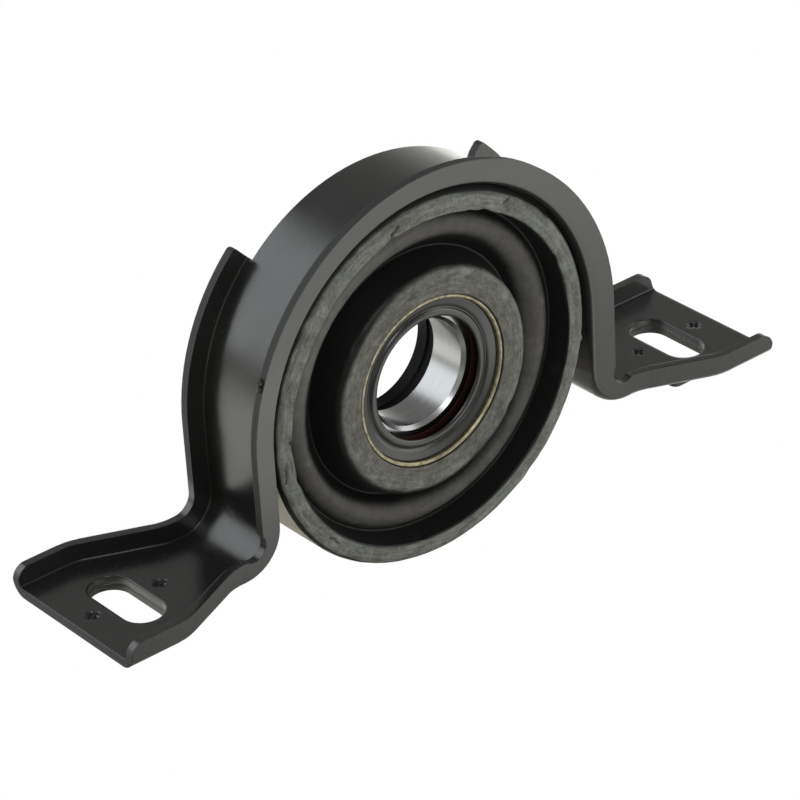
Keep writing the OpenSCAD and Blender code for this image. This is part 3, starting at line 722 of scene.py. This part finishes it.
def build_cushion():
    """The cushion's skin: the profile turned about the shaft, moved by its marks, leaning and lifted."""
    profile, angles = cushion_profile(), turn_angles()
    rows, turns = len(profile), len(angles)
    r0, y0 = profile[:, :1], profile[:, 1:]
    front = front_points(profile)[:, None]
    rough = rough_moulding(rows, turns)
    torn = np.where(front & (y0 < CRACKS_Y), crack_mask(r0, angles), 0.0)
    move = surface_moves(r0, y0, front, angles, rough) - CRACK_DEPTH * torn
    along = np.roll(profile, -1, 0) - np.roll(profile, 1, 0)
    along /= np.maximum(np.linalg.norm(along, axis=1, keepdims=True), 1e-9)
    r = r0 + along[:, 1:] * move
    y = y0 - along[:, :1] * move

    # At the top the rim's face leans in, and everything outside the hub sits off the shaft's centre
    degrees = np.degrees(angles)
    at_top = smooth((degrees - 15) / 60) * smooth((195 - degrees) / 55)
    near_face = np.where(r0 > 49.0, smooth((-10.3 - y0) / 2.2), smooth((-7.0 - y0) / 5.0))
    near_face = np.where(front & (r0 > 45.3), near_face, 0.0)
    r = r - LEAN * near_face * at_top
    lift = LIFT * smooth((r0 - HUB_FOOT_R + 0.6) / (GROOVE_R - HUB_FOOT_R - 0.4))
    verts = np.stack([r * np.cos(angles), y, r * np.sin(angles) + lift], -1).reshape(-1, 3) * MM

    i, j = np.meshgrid(np.arange(rows), np.arange(turns), indexing="ij")
    next_i, next_j = (i + 1) % rows, (j + 1) % turns
    corners = [i * turns + j, i * turns + next_j, next_i * turns + next_j, next_i * turns + j]
    quads = np.stack(corners, -1).reshape(-1, 4)
    mesh = bpy.data.meshes.new("cushion_skin")
    mesh.from_pydata(verts.tolist(), [], quads.tolist())
    mesh.polygons.foreach_set("use_smooth", np.ones(len(quads), bool))
    point_values(mesh, "talc_and_shade", talc_and_painted_shade(r0, y0, front, angles, rough, torn))
    mesh.update()
    return new_item("cushion_skin", mesh, cushion_rubber)


cushion = build_cushion()
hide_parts("rubber_cushion")
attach(cushion, "housing")


# Front shield and front seal's lip as turned meshes, in millimetres

SKIN_TURNS = 160


def turned_skin(name, profile, look, node=None):
    """A closed profile of radius and depth, turned about the shaft. It may stand in for a CAD node."""
    mesh = bpy.data.meshes.new(name)
    form = bmesh.new()
    angles = np.linspace(0.0, 2 * math.pi, SKIN_TURNS, endpoint=False)
    rings = []
    for r, y in profile:
        places = [(r * MM * math.cos(a), y * MM, r * MM * math.sin(a)) for a in angles]
        rings.append([form.verts.new(place) for place in places])
    for one, two in zip(rings, rings[1:] + rings[:1]):
        for k in range(SKIN_TURNS):
            after = (k + 1) % SKIN_TURNS
            face = form.faces.new((one[k], one[after], two[after], two[k]))
            face.smooth = True
    bmesh.ops.recalc_face_normals(form, faces=form.faces)
    form.to_mesh(mesh)
    form.free()
    item = new_item(name, mesh, look)
    if node:
        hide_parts(node)
    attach(item, "housing")


outer_wall = [(22.9, -8.1), (22.9, -8.4), (22.9, -10.4), (22.84, -10.7), (22.62, -10.82), (22.35, -10.76)]
dished_face = line_points((22.1, -10.68), (20.3, -10.20), 0.5)
groove = [(20.12, -10.12), (19.96, -9.95), (19.82, -9.82), (19.66, -9.82), (19.50, -9.95), (19.32, -10.15)]
round_lip = [
    (19.10, -10.32), (18.80, -10.45), (18.45, -10.52), (18.10, -10.52), (17.75, -10.44), (17.45, -10.30),
    (17.25, -10.12), (17.18, -9.95), (17.25, -9.80), (17.45, -9.70)]
rear_face = [(18.2, -9.45), (18.9, -9.10), (19.3, -8.6), (19.4, -8.3), (19.5, -8.1), (19.8, -8.1)]
shield_profile = outer_wall + dished_face + groove + round_lip + rear_face
turned_skin("front_shield_skin", shield_profile, satin_plastic, "front_dust_shield")
lip_profile = [
    (19.9, -6.62), (19.9, -7.0), (19.0, -7.05), (18.0, -6.98), (17.5, -6.82), (17.5, -6.66), (17.8, -6.62)]
turned_skin("front_seal_lip", lip_profile, seal_rubber)


# Two small lumps of paint on the edge of the arch's front flange

FLANGE_R = 60.3


def paint_lump(name, degrees, depth, radius):
    """A flattened, uneven lump that sits on the front flange's outer edge."""
    mesh = bpy.data.meshes.new(name)
    form = bmesh.new()
    bmesh.ops.create_icosphere(form, subdivisions=4, radius=1.0)
    turn = math.radians(degrees)
    outward = Vector((math.cos(turn), 0.0, math.sin(turn)))
    along = Vector((-math.sin(turn), 0.0, math.cos(turn)))
    centre = FLANGE_R * outward + Vector((0.0, depth, LIFT))
    for v in form.verts:
        p = v.co.copy()
        swell = 1.0 + 0.22 * math.sin(5 * p.x + 2) * math.sin(6 * p.y) + 0.15 * math.sin(9 * p.z + 1)
        p = p * radius * swell
        v.co = (centre + 0.7 * p.z * outward + p.x * along + Vector((0.0, 0.8 * p.y, 0.0))) * MM
    form.to_mesh(mesh)
    form.free()
    mesh.polygons.foreach_set("use_smooth", [True] * len(mesh.polygons))
    item = new_item(name, mesh, black_paint)
    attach(item, "housing")


paint_lump("paint_lump", 158.4, -14.0, 1.15)
paint_lump("paint_lump_small", 159.9, -14.4, 0.8)


# Camera and light

camera = bpy.data.objects.new("camera", bpy.data.cameras.new("camera"))
scene.collection.objects.link(camera)
camera_right = Vector((0.7657163, -0.6409852, -0.0530713))
camera_up = Vector((0.3605799, 0.3594858, 0.8606696))
camera_back = camera_right.cross(camera_up)
camera_place = Vector((-0.54179, -0.68760, 0.50348))
columns = (camera_right, camera_up, camera_back, camera_place)
camera.matrix_world = Matrix([[column[k] for column in columns] for k in range(3)] + [[0, 0, 0, 1]])
camera.data.sensor_width = 36.0
camera.data.lens = 174.8
camera.data.clip_start = 0.01
camera.data.clip_end = 20.0
scene.camera = camera


def area_light(name, where, size, power, colour=(1.0, 1.0, 1.0)):
    """A rectangular light that faces the origin and can't be seen itself."""
    data = bpy.data.lights.new(name, "AREA")
    data.shape = "RECTANGLE"
    data.size, data.size_y = size
    data.energy = power
    data.color = colour
    item = bpy.data.objects.new(name, data)
    scene.collection.objects.link(item)
    item.location = where
    item.rotation_mode = "QUATERNION"
    item.rotation_quaternion = (-Vector(where)).to_track_quat("-Z", "Y")
    item.visible_camera = False


area_light("key", where=(-0.35, -0.75, 0.85), size=(0.5, 0.5), power=5.0)
area_light("fill", where=(0.9, -0.6, 0.35), size=(0.8, 0.7), power=4.0)
area_light("window", where=(-0.43, 0.80, 0.42), size=(0.75, 0.80), power=4.6, colour=(0.92, 0.98, 1.0))


# A white table that lights the part from below

TABLE_Z, TABLE_REACH, TABLE_CELLS = -0.09, 1.5, 72
TABLE_COLOUR = (1.0, 0.995, 0.945, 1.0)

# Half sizes of the dim oval under the part, in metres, and the direction towards the camera
UNDER_PART = (0.12, 0.075)
TO_CAMERA = (-0.79, -0.61)

# Place in metres, size and depth of the shadows, and the same for the bright spot in front of the part
TABLE_SHADOWS = [((0.17, -0.10), 0.07, 0.55), ((-0.17, 0.10), 0.08, 0.32), ((0.155, -0.04), 0.045, 0.50)]
BRIGHT_SPOT = ((0.03, -0.125), 0.06, 0.75)


def table_glow(x, y):
    """Brightness of the white table: dim close to the part, in its shadows and towards the camera."""
    def spot(centre, size, strength):
        return strength * np.exp(-((x - centre[0]) ** 2 + (y - centre[1]) ** 2) / size ** 2)

    away = 0.30 + 0.55 * smooth((np.hypot(x / UNDER_PART[0], y / UNDER_PART[1]) - 0.6) / 0.6)
    away = away + 1.35 * smooth((np.hypot(x, y) - 0.09) / 0.10)
    towards_camera = TO_CAMERA[0] * x + TO_CAMERA[1] * y
    camera_side = 1.0 - 0.85 * smooth((towards_camera - 0.075) / 0.085)
    shadow = 1.0
    for place_and_depth in TABLE_SHADOWS:
        shadow = shadow - spot(*place_and_depth)
    shadow = np.maximum(shadow, 0.1) + spot(*BRIGHT_SPOT)
    return away * camera_side * shadow


def glowing_table():
    """A table that only lights the part and shows in its reflections. Its cells are finest near the part."""
    steps = np.linspace(-1.0, 1.0, TABLE_CELLS + 1)
    line = TABLE_REACH * np.sign(steps) * np.abs(steps) ** 1.8
    x, y = np.meshgrid(line, line, indexing="ij")
    verts = np.stack([x, y, np.full_like(x, TABLE_Z)], -1).reshape(-1, 3)
    i, j = np.meshgrid(np.arange(TABLE_CELLS), np.arange(TABLE_CELLS), indexing="ij")
    row = TABLE_CELLS + 1
    first = i * row + j
    faces = np.stack([first, first + row, first + row + 1, first + 1], -1).reshape(-1, 4)
    mesh = bpy.data.meshes.new("table")
    mesh.from_pydata(verts.tolist(), [], faces.tolist())
    point_values(mesh, "glow", table_glow(x, y))
    material = bpy.data.materials.new("table")
    material.use_nodes = True
    tree = material.node_tree
    tree.nodes.remove(tree.nodes["Principled BSDF"])
    light = add(tree, "ShaderNodeEmission")
    light.inputs["Color"].default_value = TABLE_COLOUR
    strength = add(tree, "ShaderNodeAttribute", attribute_name="glow")
    tree.links.new(strength.outputs["Fac"], light.inputs["Strength"])
    tree.links.new(light.outputs[0], tree.nodes["Material Output"].inputs["Surface"])
    item = new_item("table", mesh, material)
    item.visible_camera = False
    item.visible_shadow = False


glowing_table()


# Surroundings: bright near the horizon and dimmer above, and plain white to the camera

world = bpy.data.worlds.new("studio")
scene.world = world
world.use_nodes = True
sky = world.node_tree
surround = sky.nodes["Background"]
surround.inputs["Color"].default_value = (0.96, 0.97, 0.93, 1.0)
_, _, sky_height = split_xyz(sky, add(sky, "ShaderNodeTexCoord").outputs["Generated"])
sky.links.new(remap(sky, sky_height, 0.05, 0.42, 1.0, 0.40), surround.inputs["Strength"])
white = add(sky, "ShaderNodeBackground")
white.inputs["Color"].default_value = (1.0, 1.0, 1.0, 1.0)
white.inputs["Strength"].default_value = 1.0
ray = add(sky, "ShaderNodeLightPath")
choose = add(sky, "ShaderNodeMixShader")
sky.links.new(ray.outputs["Is Camera Ray"], choose.inputs[0])
sky.links.new(surround.outputs[0], choose.inputs[1])
sky.links.new(white.outputs[0], choose.inputs[2])
sky.links.new(choose.outputs[0], sky.nodes["World Output"].inputs["Surface"])
scene.view_settings.view_transform = "Standard"
